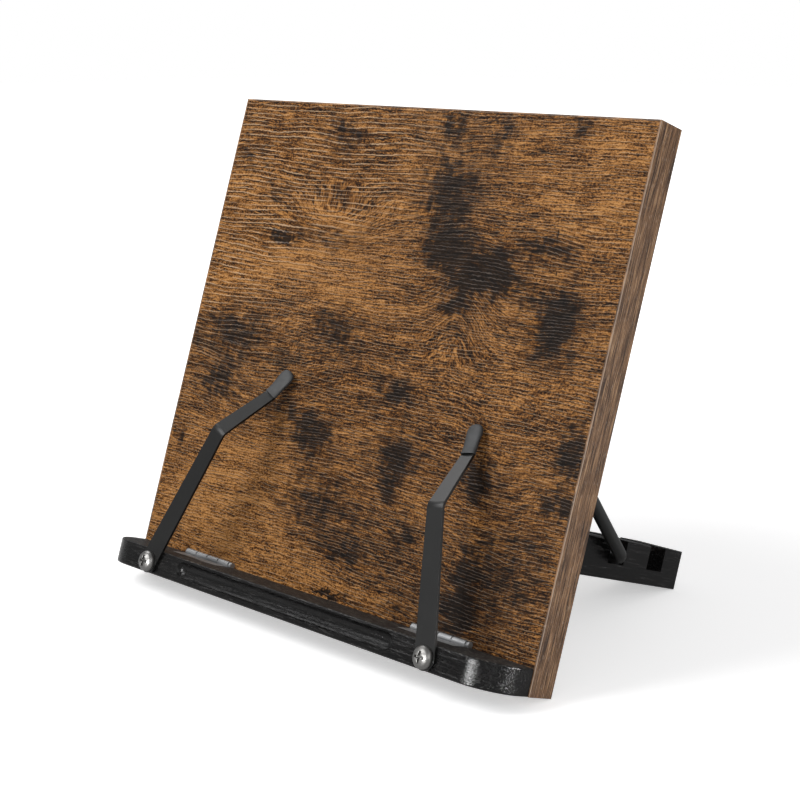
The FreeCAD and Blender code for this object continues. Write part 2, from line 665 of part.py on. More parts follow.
make_panel()
make_ledge()
make_hinges()
make_screw_groups()
for hand in SIDES:
    make_clip(hand)
    make_cap(hand)
    make_pivot(hand)
    make_foot(hand)
    make_saddle(hand)
make_prop()
doc.recompute()

# Rest pose. The panel's bottom back edge and the bars' far lower corners both stand on the floor.
lean = math.degrees(math.atan2(size("foot_rise"), size("foot_length")))
leaning = Turn(Vec(1, 0, 0), -lean)


def pivot_of(side):
    """Where a clip's local origin stands, with the panel upright."""
    sign = -1 if side == "left" else 1
    return Vec(sign * worth(CLIP_X), worth(LEDGE_FRONT + " - strip_gap"), size("clip_pivot_rise"))


def local_places():
    """Pieces that are modelled about a pivot of their own, and where that stands."""
    places = {}
    for side in SIDES:
        inward = 1 if side == "left" else -1
        swing = Turn(Vec(0, 1, 0), inward * size(side + "_clip_lean"))
        places[side + "_page_clip"] = Place(pivot_of(side), swing)
        tip = Vec(0, worth(TIP_Y), worth(side + "_strip_rise + strip_slope_rise + strip_tip_rise"))
        upright_tip = Place(tip, Turn(Vec(1, 0, 0), -worth(TIP_SLOPE)))
        places[side + "_clip_cap"] = Place(pivot_of(side), swing).multiply(upright_tip)
        places[side + "_clip_screw"] = Place(pivot_of(side), Turn())
        sign = -1 if side == "left" else 1
        places[side + "_prop_saddle"] = Place(Vec(sign * worth(SADDLE_X), 0, worth(PROP_Z)), Turn())
    swing = Turn(Vec(1, 0, 0), size("prop_angle"))
    places["prop_wire"] = Place(Vec(0, size("prop_offset"), worth(PROP_Z)), swing)
    return places


for label, upright in local_places().items():
    PARTS[label].Placement = upright.multiply(PARTS[label].Placement)
for made in PARTS.values():
    made.Placement = Place(Vec(0, 0, 0), leaning).multiply(made.Placement)
doc.recompute()


def whole_box():
    limits = FreeCAD.BoundBox()
    for made in PARTS.values():
        limits.add(made.Shape.optimalBoundingBox())
    return limits


# The origin is the centre of the footprint, on the floor
limits = whole_box()
shift = Vec(0, -(limits.YMin + limits.YMax) / 2, 0)
for made in PARTS.values():
    moved = made.Placement
    moved.Base = moved.Base + shift
    made.Placement = moved
doc.recompute()


for made in doc.Objects:
    if "Invalid" in made.State or "Error" in made.State:
        raise RuntimeError("%s (%s) did not build: %s" % (made.Name, made.Label, made.State))
os.makedirs("parts", exist_ok=True)
for label, made in PARTS.items():
    shape = made.Shape
    if shape.isNull() or not shape.isValid() or not shape.Solids:
        raise RuntimeError("%s has no valid solid" % label)
for label, made in PARTS.items():
    made.Shape.exportStep(os.path.join("parts", label + ".step"))
    print("%-28s solids %2d  volume %10.1f mm3" % (label, len(made.Shape.Solids), made.Shape.Volume))
limits = whole_box()
print("lean %.2f degrees, shift %.4f mm" % (lean, shift.y))
print("size %.2f x %.2f x %.2f mm" % (limits.XLength, limits.YLength, limits.ZLength))
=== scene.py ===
# %% [markdown]
# # A folding book holder
# A square wood-look panel leans back on two hinged foot bars, a black wooden ledge carries the
# book, and two flat steel clips hold its pages. The hard pieces come from the CAD model as a
# fixed frame. This lesson gives them their finishes, models the soft caps of the clips, and sets
# up the studio.

# %% Load the packed model
import math

import bmesh
import bpy
from mathutils import Matrix, Vector


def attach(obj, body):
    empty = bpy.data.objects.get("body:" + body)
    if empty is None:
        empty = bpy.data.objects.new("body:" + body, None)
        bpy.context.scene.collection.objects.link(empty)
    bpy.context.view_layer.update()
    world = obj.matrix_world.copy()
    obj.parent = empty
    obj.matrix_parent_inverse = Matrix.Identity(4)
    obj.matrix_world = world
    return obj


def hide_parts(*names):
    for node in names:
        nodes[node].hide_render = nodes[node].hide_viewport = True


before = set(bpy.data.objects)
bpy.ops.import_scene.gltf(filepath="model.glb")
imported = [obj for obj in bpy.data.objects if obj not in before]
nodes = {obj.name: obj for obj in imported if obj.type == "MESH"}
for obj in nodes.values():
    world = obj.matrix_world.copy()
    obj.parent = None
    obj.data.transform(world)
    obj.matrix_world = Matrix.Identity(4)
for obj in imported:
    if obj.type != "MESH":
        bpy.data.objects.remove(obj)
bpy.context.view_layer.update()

print("CAD nodes:", len(nodes))

# %% [markdown]
# The panel leans back, so its grain doesn't run along the world's axes. Every pattern below is
# drawn in the panel's own millimetres: across the panel, out of its back, and up it. The lean
# follows from the foot bars, which meet the panel 47 mm up and are 140 mm long.

# %% The panel's own frame
MM = 0.001
PANEL_WIDTH, PANEL_HEIGHT, PANEL_THICK = 250, 235, 15
LEAN = math.atan2(47, 140)
BACK_EDGE_Y = -56.5885           # where the panel's lower back edge stands, in millimetres


def from_panel(across, behind, up):
    """A point given in the panel's millimetres, in the metres of the scene."""
    y = behind * math.cos(LEAN) + up * math.sin(LEAN) + BACK_EDGE_Y
    z = -behind * math.sin(LEAN) + up * math.cos(LEAN)
    return Vector((across, y, z)) * MM


print("lean %.2f degrees" % math.degrees(LEAN))
print("the panel's top edge is at", from_panel(0, 0, PANEL_HEIGHT))

# %% [markdown]
# Shader maths is easier to read as formulas than as boxes and wires. A small class holds a node's
# output and turns Python's operators into Math nodes.

# %% Shader expressions
class Flow:
    """A value that flows out of a node."""

    def __init__(self, finish, socket):
        self.finish = finish
        self.socket = socket

    def maths(self, operation, *values):
        return self.finish.node("Math", {"operation": operation}, *values)

    def __add__(self, other):
        return self.maths("ADD", self, other)

    def __radd__(self, other):
        return self.maths("ADD", other, self)

    def __sub__(self, other):
        return self.maths("SUBTRACT", self, other)

    def __rsub__(self, other):
        return self.maths("SUBTRACT", other, self)

    def __mul__(self, other):
        return self.maths("MULTIPLY", self, other)

    def __truediv__(self, other):
        return self.maths("DIVIDE", self, other)

    def absolute(self):
        return self.maths("ABSOLUTE", self)

    def fraction(self):
        return self.maths("FRACT", self)

    def exponential(self):
        return self.maths("EXPONENT", self)

    def clamped(self):
        return self.finish.node("Clamp", {}, self)

    def step(self, low, high):
        """0 below low, 1 above high, and a smooth rise between."""
        settings = {"interpolation_type": "SMOOTHSTEP"}
        return self.finish.node("MapRange", settings, self, low, high, 0.0, 1.0)


print("expressions:", sorted(name for name in vars(Flow) if not name.startswith("_")))

# %% [markdown]
# A finish is one material with one Principled shader. Its nodes could be placed and wired by hand
# in the shader editor, but this object needs some hundreds of them, so one method makes any node
# and feeds its sockets with values or with other nodes' outputs.

# %% A material and its wiring
class Wiring:
    """A material with one Principled shader, and a way to add nodes that feed it."""

    def __init__(self, name):
        self.material = bpy.data.materials.new(name)
        self.material.use_nodes = True
        self.tree = self.material.node_tree
        self.shader = self.tree.nodes["Principled BSDF"]

    def feed(self, socket, value):
        if isinstance(value, Flow):
            self.tree.links.new(value.socket, socket)
        else:
            socket.default_value = value

    def node(self, kind, settings, *values, out=0, **named):
        """Make a node: its type, its settings, then what its sockets get, in order or by name."""
        made = self.tree.nodes.new("ShaderNode" + kind)
        for key, value in settings.items():
            setattr(made, key, value)
        for index, value in enumerate(values):
            self.feed(made.inputs[index], value)
        for key, value in named.items():
            self.feed(made.inputs[key.replace("_", " ")], value)
        return Flow(self, made.outputs[out])

    def set(self, **sockets):
        """Set or link the shader's own sockets."""
        for key, value in sockets.items():
            self.feed(self.shader.inputs[key.replace("_", " ")], value)
        return self


print("wiring methods:", sorted(name for name in vars(Wiring) if not name.startswith("_")))

# %% [markdown]
# The recipes below use the same few kinds of node over and over: layers of colour, noise drawn
# out along a grain, and a small relief. Each gets a short method.

# %% Parts of a recipe
class Finish(Wiring):
    """A material with the parts that the recipes share."""

    def blend(self, factor, under, over):
        """Lay one colour over another."""
        made = self.tree.nodes.new("ShaderNodeMix")
        made.data_type = "RGBA"
        for index, value in ((0, factor), (6, under), (7, over)):
            self.feed(made.inputs[index], value)
        return Flow(self, made.outputs[2])

    def ramp(self, value, *stops):
        """A run of colours, each with its position from 0 to 1."""
        made = self.tree.nodes.new("ShaderNodeValToRGB")
        ramp = made.color_ramp.elements
        while len(ramp) < len(stops):
            ramp.new(1.0)
        for stop, (position, colour) in zip(ramp, stops):
            stop.position = position
            stop.color = colour
        self.feed(made.inputs[0], value)
        return Flow(self, made.outputs[0])

    def vector(self, x, y, z):
        return self.node("CombineXYZ", {}, x, y, z)

    def split(self, where):
        made = self.tree.nodes.new("ShaderNodeSeparateXYZ")
        self.feed(made.inputs[0], where)
        return [Flow(self, socket) for socket in made.outputs]

    def noise(self, where, detail=2.0, roughness=0.5, scale=1.0):
        return self.node("TexNoise", {}, Vector=where, Scale=scale, Detail=detail,
                         Roughness=roughness)

    def grain(self, place, size, detail=2.0, roughness=0.5):
        """Noise drawn out along each axis to a size in millimetres."""
        where = self.vector(*(part / long for part, long in zip(place, size)))
        return self.noise(where, detail, roughness)

    def bump(self, height, strength, distance):
        return self.node("Bump", {}, Strength=strength, Distance=distance, Height=height)

    def panel_place(self):
        """Across, behind and up, in the panel's millimetres."""
        flow = self.node("TexCoord", {}, out=3)
        shift = (0.0, -BACK_EDGE_Y * math.cos(LEAN), -BACK_EDGE_Y * math.sin(LEAN))
        turn = (LEAN, 0.0, 0.0)
        scale = (1 / MM, 1 / MM, 1 / MM)
        return self.node("Mapping", {"vector_type": "POINT"}, flow, shift, turn, scale)


print("recipe methods:", sorted(name for name in vars(Finish) if not name.startswith("_")))

# %% [markdown]
# ## The laminate
# The panel is covered with a printed foil that imitates old timber. Its grain runs across the
# panel in fine wavy lines, bends round an oval knot figure, and is broken by ragged dark smudges.
# An image would be the quick way, but formulas keep sharp at any distance.
#
# The height up the panel is the base of every line. Noise warps it, the knot adds to it, and the
# crotch, where a branch left the trunk, takes from it. Lines of equal height then flow like
# growth rings.

# %% Growth lines
# ovals on the panel: across, up, half width, half height and strength
KNOT = [(-45, 181, 32, 13, 1.0)]
CROTCH = [(43, 148, 15, 22, 1.0)]
WAVES = [(-75, 100, 40, 30, 1.0), (85, 60, 30, 40, 1.0)]


def spots(f, where, listed):
    """A soft-edged sum of ovals."""
    total = 0.0
    for across, up, wide, high, strength in listed:
        middle, shrink = (across, 0.0, up), (1 / wide, 0.0, 1 / high)
        apart = f.node("VectorMath", {"operation": "SUBTRACT"}, where, middle)
        near = f.node("VectorMath", {"operation": "MULTIPLY"}, apart, shrink)
        square = f.node("VectorMath", {"operation": "DOT_PRODUCT"}, near, near, out=1)
        total = (square * -1.0).exponential() * strength + total
    return total


def growth_line(f, where):
    """The height up the panel, warped as the grain is."""
    place = f.split(where)
    swell = f.grain(place, (90, 25, 45), 1.5) - 0.5
    ripple = f.grain(place, (17, 25, 9)) - 0.5
    knot, crotch, wave = (spots(f, where, listed) for listed in (KNOT, CROTCH, WAVES))
    return place[2] + swell * 15 + ripple * 2.6 + knot * 17 - crotch * 15 + wave * 8


print("the knot is at", from_panel(KNOT[0][0], -PANEL_THICK, KNOT[0][1]))

# %% [markdown]
# The print has dark smudges, wide shaded areas and golden areas between them. They could be drawn
# by chance, but then they would lie elsewhere than on the real panel, so each is an oval of its
# own, placed one by one.

# %% Where the smudges lie
# across, up, half width, half height and strength
SMUDGES = [
    (22, 200, 15, 13, 1.1), (28, 174, 15, 12, 1.25), (56, 164, 17, 10, 1.6), (40, 150, 7, 11, 1.0),
    (45, 225, 5, 9, 0.9), (16, 230, 5, 9, 0.8), (85, 231, 5, 8, 0.8), (-51, 220, 17, 10, 0.6),
    (-112, 209, 15, 12, 0.5), (-76, 169, 12, 6, 1.1), (-88, 190, 9, 5, 0.7), (-50, 192, 22, 4, 0.6),
    (-44, 171, 24, 4, 0.5), (81, 179, 15, 6, 0.95), (98, 148, 13, 15, 1.5), (108, 193, 8, 4, 0.6),
    (-27, 130, 18, 9, 0.9), (-96, 120, 27, 12, 0.7), (-97, 94, 13, 11, 1.0), (-116, 65, 5, 6, 1.0),
    (19, 107, 9, 5, 1.5), (-28, 80, 14, 10, 1.1), (-53, 88, 14, 6, 0.7), (29, 80, 13, 9, 1.15),
    (28, 66, 6, 7, 0.9), (74, 78, 10, 8, 1.2), (41, 48, 6, 7, 1.0), (119, 97, 7, 11, 1.3),
    (119, 76, 7, 6, 1.0), (80, 28, 9, 20, 1.1), (-15, 52, 24, 14, 0.65), (10, 33, 20, 9, 0.65),
    (4, 14, 14, 1.6, 1.6), (-64, 47, 9, 10, 0.45), (103, 45, 16, 24, 0.5), (58, 20, 22, 12, 0.45),
]
SHADES = [
    (-92, 118, 46, 15, 0.8), (-30, 108, 50, 18, 0.6), (15, 95, 55, 26, 0.5), (18, 44, 62, 30, 0.75),
    (95, 50, 36, 48, 0.85), (40, 185, 34, 36, 0.8), (98, 146, 28, 20, 0.5), (-70, 220, 60, 14, 0.4),
    (0, 226, 50, 12, 0.4), (-118, 95, 14, 30, 0.5),
]
GOLDEN = [
    (-62, 155, 52, 12, 1.0), (-72, 55, 30, 24, 1.1), (112, 208, 16, 26, 0.9),
    (-95, 25, 50, 14, 1.0), (-8, 18, 36, 9, 0.8), (88, 196, 24, 9, 0.5), (-105, 190, 16, 14, 0.6),
    (-45, 181, 20, 6, 0.8),
]
print("smudges:", len(SMUDGES), "shaded areas:", len(SHADES), "golden areas:", len(GOLDEN))

# %% [markdown]
# Bare ovals would look like blots. Noise moves each point sideways and up before it looks for
# them, which tears their edges.

# %% Mottling
def mottling(f, where):
    """How much of the smudges, the shaded areas and the golden areas lies at a point."""
    u, y, v = f.split(where)
    sideways = f.grain((u, y, v), (10, 9, 8), 4.0, 0.62) - 0.5
    upward = f.grain((u + 370, y, v), (10, 9, 8), 4.0, 0.62) - 0.5
    moved = f.vector(u + sideways * 26, 0.0, v + upward * 20)
    return [spots(f, moved, listed) for listed in (SMUDGES, SHADES, GOLDEN)]


print("ovals in the mottling:", len(SMUDGES) + len(SHADES) + len(GOLDEN))

# %% [markdown]
# The foil is embossed in nearly level rows, coarse ones at the upper left and finer ones
# elsewhere. Each row has a thin rim, which carries a painted highlight, and a thin dark valley
# below it. The height over the pitch counts the rows, and its fraction says how far a point is
# through its row.

# %% Embossed rows
ROWS = ((2.25, 16.0), (1.45, 8.0))        # pitch and length of a stroke, coarse and fine
COARSE = [(-65, 215, 70, 40, 1.5), (-125, 160, 60, 50, 1.2)]
RIM_AT, VALLEY_AT = 0.5, 0.27             # how far through a row the middle of each lies


def emboss(f, where):
    """How strong the rims and the valleys are."""
    u, y, v = place = f.split(where)
    jag = f.grain(place, (1.5, 9, 1.4), 2.0, 0.65) - 0.5
    bow = (f.grain(place, (60, 30, 26), 2.0, 0.45) - 0.5) * 10
    row = v + bow + jag
    rims, valleys = [], []
    for pitch, stroke in ROWS:
        through = (row / pitch).fraction()
        strength = f.grain((u, y, row), (stroke, 9, pitch * 0.7), 3.0, 0.7).step(0.34, 0.60)
        off_rim, off_valley = (through - RIM_AT).absolute(), (through - VALLEY_AT).absolute()
        rims.append((1.0 - off_rim.step(0.03, 0.17)) * strength)
        valleys.append((1.0 - off_valley.step(0.05, 0.22)) * strength)
    coarse = spots(f, where, COARSE).clamped()
    rim = rims[0] * coarse + rims[1] * (1.0 - coarse) * 0.55
    valley = valleys[0] * coarse + valleys[1] * (1.0 - coarse)
    return rim, valley


print("rows up the panel:", [round(PANEL_HEIGHT / pitch) for pitch, stroke in ROWS])

# %% [markdown]
# A paint program's values from 0 to 255 are easy to compare with a real surface, but a shader
# counts in linear light. One function turns the first into the second.

# %% Colours
def paint(red, green, blue):
    """A colour as a paint program shows it, in the linear values that a shader takes."""
    def linear(value):
        value = value / 255
        return value / 12.92 if value <= 0.04045 else ((value + 0.055) / 1.055) ** 2.4
    return (linear(red), linear(green), linear(blue), 1.0)


print("a mid brown in linear values:", [round(v, 3) for v in paint(140, 98, 60)])

# %% [markdown]
# The print itself is a brown ramp, driven by streaks and fibres that follow the growth lines. The
# smudges go over it, then the valleys, then a painted highlight on the rims. The relief is far
# too fine to model, so a bump only tilts the light on it.

# %% The laminate's finish
def laminate_finish():
    f = Finish("rustic laminate")
    where = f.panel_place()
    u, y, v = place = f.split(where)
    along_grain = (u, y, growth_line(f, where))
    soot, shade, gold = mottling(f, where)
    rim, valley = emboss(f, where)
    stipple = f.grain(along_grain, (1.0, 9, 0.62), 2.0, 0.7)
    rag = f.grain(along_grain, (6.5, 9, 1.5), 4.0, 0.65)
    fibre = f.grain(along_grain, (7, 9, 0.55), 3.0, 0.65)
    streak = f.grain(along_grain, (40, 30, 3.6), 4.0, 0.6)
    cloud = f.grain(place, (22, 20, 15), 4.0, 0.6)
    comb = f.grain(place, (2.4, 9, 10), 3.0, 0.6)
    tick = f.grain(place, (1.3, 9, 5.5)).step(0.70, 0.76)
    patchy = (rag - 0.5) * 2.3 + (stipple - 0.5) * 2.1 + (cloud - 0.5) * 1.1 + (comb - 0.5) * 1.3
    dark = (soot * 1.02 + shade * 0.24 + patchy - gold * 0.15 + tick * 0.6).step(0.32, 1.06)
    tone = (streak * 0.62 + fibre * 1.30 + cloud * 0.34 + stipple * 1.25 + gold * 0.13
            - shade * 0.07 - 1.25)
    wood = f.ramp(tone, (0.20, paint(17, 10, 7)), (0.37, paint(56, 34, 17)),
                  (0.49, paint(102, 65, 32)), (0.61, paint(142, 95, 48)),
                  (0.80, paint(184, 132, 76)))
    wood = f.blend(dark * 0.95, wood, paint(15, 12, 10))
    wood = f.blend(valley * 0.66, wood, paint(28, 19, 14))
    # painted highlight along the rims of the embossed rows, greyer over the dark print
    rim_highlight = f.blend(dark, paint(198, 166, 132), paint(124, 113, 106))
    wood = f.blend(rim * 0.78, wood, rim_highlight)
    relief = rim * 0.7 - valley * 0.9 + fibre * 0.35
    f.set(Base_Color=wood, Roughness=0.56 + rim * 0.08 - dark * 0.06)
    f.set(Normal=f.bump(relief, 0.5, 0.0002))
    return f.set(Specular_IOR_Level=0.05).material


laminate = laminate_finish()
print("laminate nodes:", len(laminate.node_tree.nodes))

# %% [markdown]
# The board's four edges are banded with a greyer strip of the same print. The laminate's recipe
# would show its grain end on there, so the bands have one of their own: streaks that run along
# the edge, and a thin pale line where the foil of the face ends.

# %% Edge band
FOIL_END = 0.25 - PANEL_THICK             # the middle of the pale line, just behind the face


def band_finish(name, upright):
    f = Finish(name)
    u, y, v = f.split(f.panel_place())
    along = v if upright else u
    pale = paint(196, 172, 150)
    wander = (f.grain((along, y, 0.0), (30, 12, 1)) - 0.5) * 1.6
    thin = f.grain((along, y + wander, 3.0), (15, 0.42, 1), 3.0, 0.62)
    wide = f.grain((along, y + wander, 9.0), (34, 1.9, 1))
    flecks = f.grain((along, y, 5.0), (3.0, 0.5, 1), 2.0, 0.6).step(0.58, 0.68)
    seam = 1.0 - (y - FOIL_END).absolute().step(0.12, 0.28)
    colour = f.ramp(thin * 0.75 + wide * 0.25, (0.36, paint(30, 18, 11)), (0.45, paint(76, 50, 31)),
                    (0.54, paint(142, 104, 70)), (0.68, paint(214, 174, 132)))
    colour = f.blend(flecks * 0.40, colour, pale)
    colour = f.blend(seam * 0.75, colour, pale)
    f.set(Base_Color=colour, Roughness=0.55, Normal=f.bump(thin, 0.35, 0.0002))
    return f.set(Specular_IOR_Level=0.15).material


side_band = band_finish("edge band, upright", True)
end_band = band_finish("edge band, level", False)
print("band nodes:", len(side_band.node_tree.nodes))

# %% [markdown]
# ## Black lacquered wood
# The ledge and the foot bars are solid wood under a thin black lacquer, so the open grain still
# shows as fine ridges, and rounded corners throw bright highlights. Plain black would look like
# plastic. Noise stretched along the piece tints the colour a little and lifts the surface a
# little, and the top faces are duller, with painted glints in small pale dots.

# %% Lacquer
LEDGE_TOP, FOOT_TOP = 11.5, 65.6          # how far up the panel the top faces lie


def lacquer_finish(name, along_ledge, top, top_glint):
    f = Finish(name)
    u, y, v = f.split(f.panel_place())
    place = (u, y, v) if along_ledge else (y, u, v)
    grain = f.grain(place, (14, 0.7, 0.7), 4.0, 0.6)
    cloud = f.grain(place, (30, 12, 12))
    worn = f.grain(place, (5, 2.4, 2.4), 3.0, 0.6).step(0.58, 0.75)
    fleck_and_glint = f.grain(place, (2.2, 0.7, 0.7), 3.0, 0.65).step(0.52, 0.66)
    open_grain = grain.step(0.56, 0.72)
    on_top = v.step(top - 0.5, top - 0.1)
    colour = f.ramp(grain * 0.6 + cloud * 0.4, (0.32, paint(10, 10, 10)), (0.62, paint(21, 20, 20)))
    colour = f.blend(open_grain * 0.20, colour, paint(46, 42, 38))
    # faint pale dots all over, and painted glints on the top faces
    colour = f.blend(fleck_and_glint * (on_top * top_glint + 0.03), colour, paint(128, 124, 118))
    f.set(Base_Color=colour, Roughness=0.15 + worn * 0.10 + open_grain * 0.10 + on_top * 0.45)
    f.set(Normal=f.bump(grain - open_grain * 0.6, 0.55, 0.0003))
    return f.set(Specular_IOR_Level=0.20).material


ledge_black = lacquer_finish("black lacquer, ledge", True, LEDGE_TOP, 0.55)
foot_black = lacquer_finish("black lacquer, foot bars", False, FOOT_TOP, 0.14)
print("lacquers:", ledge_black.name, "and", foot_black.name)

# %% [markdown]
# ## Metal and vinyl
# The clips, the prop and its saddles are coated in satin black. A metallic shader would be wrong
# here, because the light meets the coat and not the steel. The coat shows a very fine orange peel
# and a few rubbed places.

# %% Coated steel
def coated_finish(name, shade, roughness):
    f = Finish(name)
    where = f.panel_place()
    peel = f.noise(where, 3.0, 0.6, scale=1.9)
    cloud = f.noise(where, scale=0.07)
    rub = f.noise(where, 4.0, 0.7, scale=0.45).step(0.60, 0.74)
    low, high = paint(shade - 3, shade - 3, shade - 3), paint(shade + 4, shade + 4, shade + 3)
    colour = f.ramp(cloud, (0.35, low), (0.65, high))
    colour = f.blend(rub * 0.22, colour, paint(shade + 26, shade + 25, shade + 24))
    f.set(Base_Color=colour, Roughness=roughness + peel * 0.08 + rub * 0.05)
    f.set(Normal=f.bump(peel, 0.12, 0.0001))
    return f.set(Specular_IOR_Level=0.30).material


clip_black = coated_finish("satin black coat", 14, 0.33)
wire_black = coated_finish("black wire coat", 26, 0.34)
saddle_black = coated_finish("black saddle coat", 30, 0.42)
print("coats:", [coat.name for coat in (clip_black, wire_black, saddle_black)])

# %% [markdown]
# The hinges are zinc plated and the clip screws bright nickel, with drawn lines and a few duller
# clouds. The gaps between the knuckles of a ledge hinge are narrower than a pixel, so the shade
# in them is painted on as thin dark rings.

# %% Plated steel
HINGE_LENGTH, HINGE_INSET, KNUCKLES = 31, 50.5, 4
KNUCKLE = HINGE_LENGTH / KNUCKLES
HINGE_START = PANEL_WIDTH / 2 - HINGE_INSET - HINGE_LENGTH / 2
BARREL_FROM, BARREL_TO = (12.5, 12.9), (16.0, 18.0)      # how far up the panel the barrel lies


def painted_gap_shade(u, v):
    """Painted shade in thin rings round a ledge hinge's barrel, and nothing on the foot hinges."""
    through = (u.absolute() / KNUCKLE + (0.5 - HINGE_START / KNUCKLE)).fraction()
    gap = 1.0 - (through - 0.5).absolute().step(0.03, 0.07)
    return gap * v.step(*BARREL_FROM) * (1.0 - v.step(*BARREL_TO))


def plated_finish(name, tint, roughness, drawn, metal):
    f = Finish(name)
    u, y, v = place = f.split(f.panel_place())
    lines = f.grain(place, (drawn, 0.25, 0.25), 3.0, 0.6)
    clouded = f.grain(place, (3, 3, 3), 3.0, 0.6).step(0.52, 0.72)
    bright = [min(1.0, part * 1.12) for part in tint[:3]] + [1.0]
    dull = [part * 0.55 for part in tint[:3]] + [1.0]
    colour = f.blend(clouded * 0.6, f.blend(lines, dull, bright), dull)
    # painted shade in the gaps between the knuckles
    colour = f.blend(painted_gap_shade(u, v) * 0.85, colour, paint(20, 20, 20))
    f.set(Base_Color=colour, Metallic=metal - clouded * 0.12)
    f.set(Roughness=roughness + clouded * 0.2 + lines * 0.1)
    return f.set(Normal=f.bump(lines, 0.15, 0.0001)).material


zinc = plated_finish("zinc plate", paint(150, 151, 152), 0.36, 14, 0.45)
nickel = plated_finish("bright nickel", paint(128, 127, 125), 0.32, 3, 1.0)
print("a knuckle is %.2f mm long" % KNUCKLE)

# %% [markdown]
# The caps on the clips' tips are soft, matte vinyl in a dark grey, with a faint bloom and a grain
# that keeps the highlight broad.

# %% Vinyl
def vinyl_finish():
    f = Finish("soft vinyl")
    where = f.panel_place()
    grain = f.noise(where, 3.0, 0.6, scale=2.6)
    bloom = f.noise(where, scale=0.35)
    colour = f.ramp(bloom, (0.30, paint(40, 41, 42)), (0.70, paint(54, 55, 56)))
    f.set(Base_Color=colour, Roughness=0.52 + grain * 0.12, Normal=f.bump(grain, 0.2, 0.0001))
    return f.set(Specular_IOR_Level=0.4).material


soft_vinyl = vinyl_finish()
print("vinyl nodes:", len(soft_vinyl.node_tree.nodes))

# %% [markdown]
# Each CAD node gets its finish. What the list leaves out, the hinges and the small screws, is
# zinc plated.

# %% Dress the CAD nodes
DRESS = {
    "panel_board": laminate,
    "left_edge_band": side_band, "right_edge_band": side_band,
    "top_edge_band": end_band, "bottom_edge_band": end_band,
    "ledge_board": ledge_black, "left_foot_bar": foot_black, "right_foot_bar": foot_black,
    "left_page_clip": clip_black, "right_page_clip": clip_black, "prop_wire": wire_black,
    "left_prop_saddle": saddle_black, "right_prop_saddle": saddle_black,
    "left_clip_screw": nickel, "right_clip_screw": nickel,
}
for name, piece in nodes.items():
    finish = DRESS.get(name, zinc)
    for slot in piece.material_slots:
        slot.material = finish
used = {slot.material.name for piece in nodes.values() for slot in piece.material_slots}
print("finishes:", sorted(used))

# %% [markdown]
# Real edges are never razor sharp, and a narrow bevel catches a line of light. The CAD meshes are
# loose triangles, so a Weld modifier joins them before a Bevel modifier takes the sharp edges
# off. Modifiers leave the CAD mesh itself as it came.

# %% Ease the sharp edges
# the width of each bevel, in millimetres
EASED = {
    "left_edge_band": 0.25, "right_edge_band": 0.25,
    "top_edge_band": 0.25, "bottom_edge_band": 0.25,
    "left_foot_bar": 0.5, "right_foot_bar": 0.5,
    "left_page_clip": 0.22, "right_page_clip": 0.22,
    "left_prop_saddle": 0.15, "right_prop_saddle": 0.15,
    "left_clip_screw": 0.12, "right_clip_screw": 0.12,
}
for name, width in EASED.items():
    weld = nodes[name].modifiers.new("Join triangles", "WELD")
    weld.merge_threshold = 0.000002
    ease = nodes[name].modifiers.new("Ease edges", "BEVEL")
    ease.width = width * MM
    ease.segments = 2
    ease.limit_method = "ANGLE"
    ease.angle_limit = math.radians(50)
print("eased:", len(EASED), "nodes")

# %% [markdown]
# ## Soft caps
# A dipped vinyl cap covers each clip's tip, so that it doesn't mark the page. It is a sleeve with
# an open mouth that stands off the strip, a waist, and a fuller rounded end. A plain swept shape
# would lose the waist, so it is a loft: rounded outlines are set one after another along the tip,
# joined with skins, and folded inward at the mouth. First comes the way from a tip to the scene.

# %% Clip tips in the panel's frame
PIVOT_ACROSS, PIVOT_BEHIND, PIVOT_UP = 89.0, -39.1, 5.4
# which side, the turn on the screw in degrees, and the height of the fold
CLIPS = {"left": (-1, 22.0, 73.0), "right": (1, -11.8, 61.5)}
SLOPE_RISE, SLOPE_BACK = 22.8, 17.6       # the slope above the fold, and how far back it ends
TIP_RISE, TIP_BACK = 12.4, 21.8           # the tip above the slope, and how far back it ends
TIP_TILT = math.atan2(TIP_BACK - SLOPE_BACK, TIP_RISE)


def tip_point(side, across, front, along):
    """From millimetres about the strip's end, across it, out of its front and along it."""
    sign, turn, fold = CLIPS[side]
    back = TIP_BACK + along * math.sin(TIP_TILT) - front * math.cos(TIP_TILT)
    end = fold + SLOPE_RISE + TIP_RISE
    up = end + along * math.cos(TIP_TILT) + front * math.sin(TIP_TILT)
    angle = math.radians(turn)
    wide = across * math.cos(angle) + up * math.sin(angle)
    high = up * math.cos(angle) - across * math.sin(angle)
    return from_panel(sign * PIVOT_ACROSS + wide, PIVOT_BEHIND + back, PIVOT_UP + high)


print("left tip at", [round(value, 4) for value in tip_point("left", 0, 0, 0)])

# %% [markdown]
# An outline lies between an ellipse and a box. A power below 1 on the sine and the cosine squares
# an ellipse up, which needs no corner radius of its own.

# %% Outlines of a cap
# along the tip, half width, half thickness, and how far the middle stands off
OUTER = [
    (-12.9, 3.75, 1.45, 0.25), (-12.3, 3.7, 1.42, 0.18), (-11.0, 3.6, 1.36, 0.05),
    (-9.0, 3.58, 1.32, 0.0), (-6.5, 3.7, 1.34, 0.0), (-4.0, 3.95, 1.40, 0.0),
    (-2.6, 4.05, 1.42, 0.0), (-1.2, 3.85, 1.38, 0.0), (-0.1, 3.35, 1.28, 0.0),
    (0.6, 2.65, 1.05, 0.0), (1.0, 1.8, 0.75, 0.0), (1.16, 0.8, 0.35, 0.0),
]
INNER = [(-12.9, 3.55, 1.25, 0.25), (-12.2, 3.45, 1.12, 0.2), (-10.0, 3.4, 0.7, 0.0)]
RING_POINTS = 40
SQUARING = 0.75


